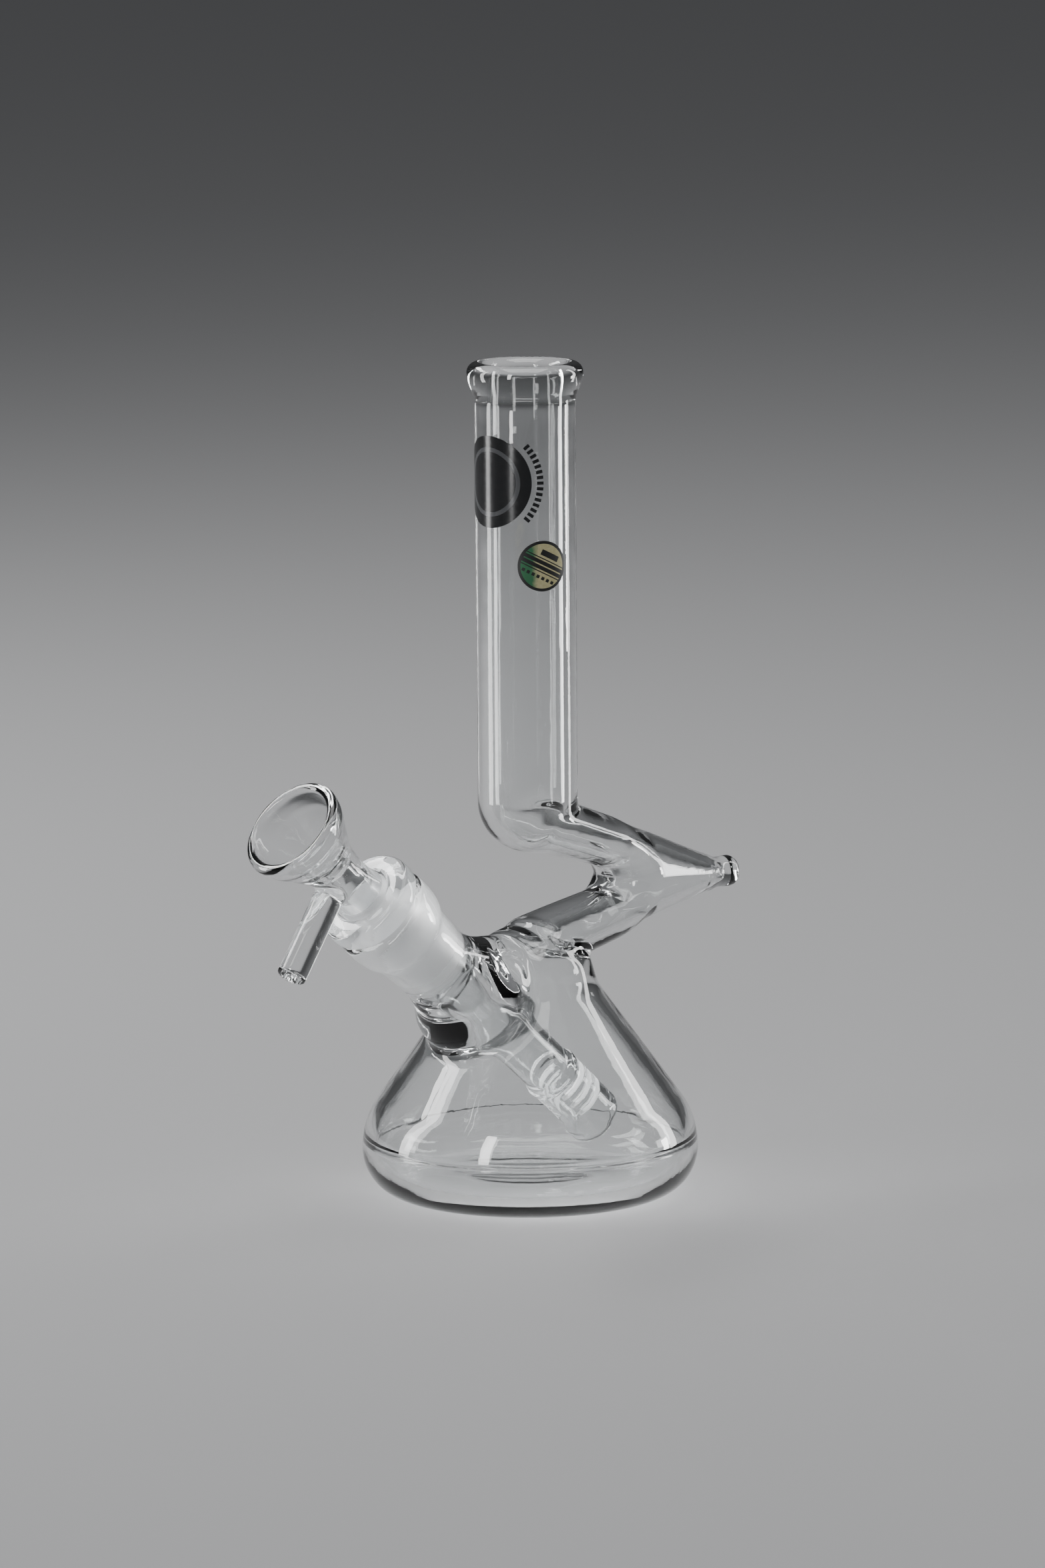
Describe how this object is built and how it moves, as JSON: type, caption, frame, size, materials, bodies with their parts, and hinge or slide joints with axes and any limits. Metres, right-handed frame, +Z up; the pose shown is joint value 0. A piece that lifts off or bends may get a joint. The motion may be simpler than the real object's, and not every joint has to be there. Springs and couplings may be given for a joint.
{
  "type": "glass water pipe",
  "caption": "Clear glass water pipe: conical flask, zig-zag neck pulled out to a side point, slanted ground joint, slide-out downstem with slit tip, and funnel bowl with a rod handle.",
  "frame": {"origin": "centre of the flask's flat floor, on the axis of the flask and the neck tube", "axes": "+Z up along the neck tube; the ground joint leans out towards -X and the neck's cone points towards +X, so XZ is the plane of symmetry"},
  "size_m": [0.1627, 0.0878, 0.2179],
  "materials": {
    "clear_glass": "fire-polished clear borosilicate glass",
    "ground_glass": "ground, white frosted glass",
    "decal_ink": "dark translucent print",
    "sticker_foil": "printed round label with a dark border"
  },
  "bodies": {
    "pipe": {"flask_base": "clear_glass", "zigzag_neck": "clear_glass", "kick_nub": "clear_glass", "neck_tube": "clear_glass", "mouth_lip": "clear_glass", "joint_stub": "clear_glass", "joint_socket": "ground_glass", "round_decal": "decal_ink", "round_sticker": "sticker_foil"},
    "downstem": {"downstem_head": "clear_glass", "downstem_ground_joint": "ground_glass", "downstem_tube": "clear_glass", "diffuser_tip": "clear_glass"},
    "bowl": {"bowl_ground_joint": "ground_glass", "bowl_neck": "clear_glass", "bowl_cone": "clear_glass", "bowl_rim": "clear_glass", "bowl_handle": "clear_glass"}
  },
  "joints": [
    {"name": "downstem_slide", "type": "slide", "parent": "pipe", "child": "downstem", "axis": [-0.7581, 0, 0.6521], "range_m": [0, 0.105]},
    {"name": "bowl_slide", "type": "slide", "parent": "downstem", "child": "bowl", "axis": [-0.7581, 0, 0.6521], "range_m": [0, 0.03]}
  ]
}
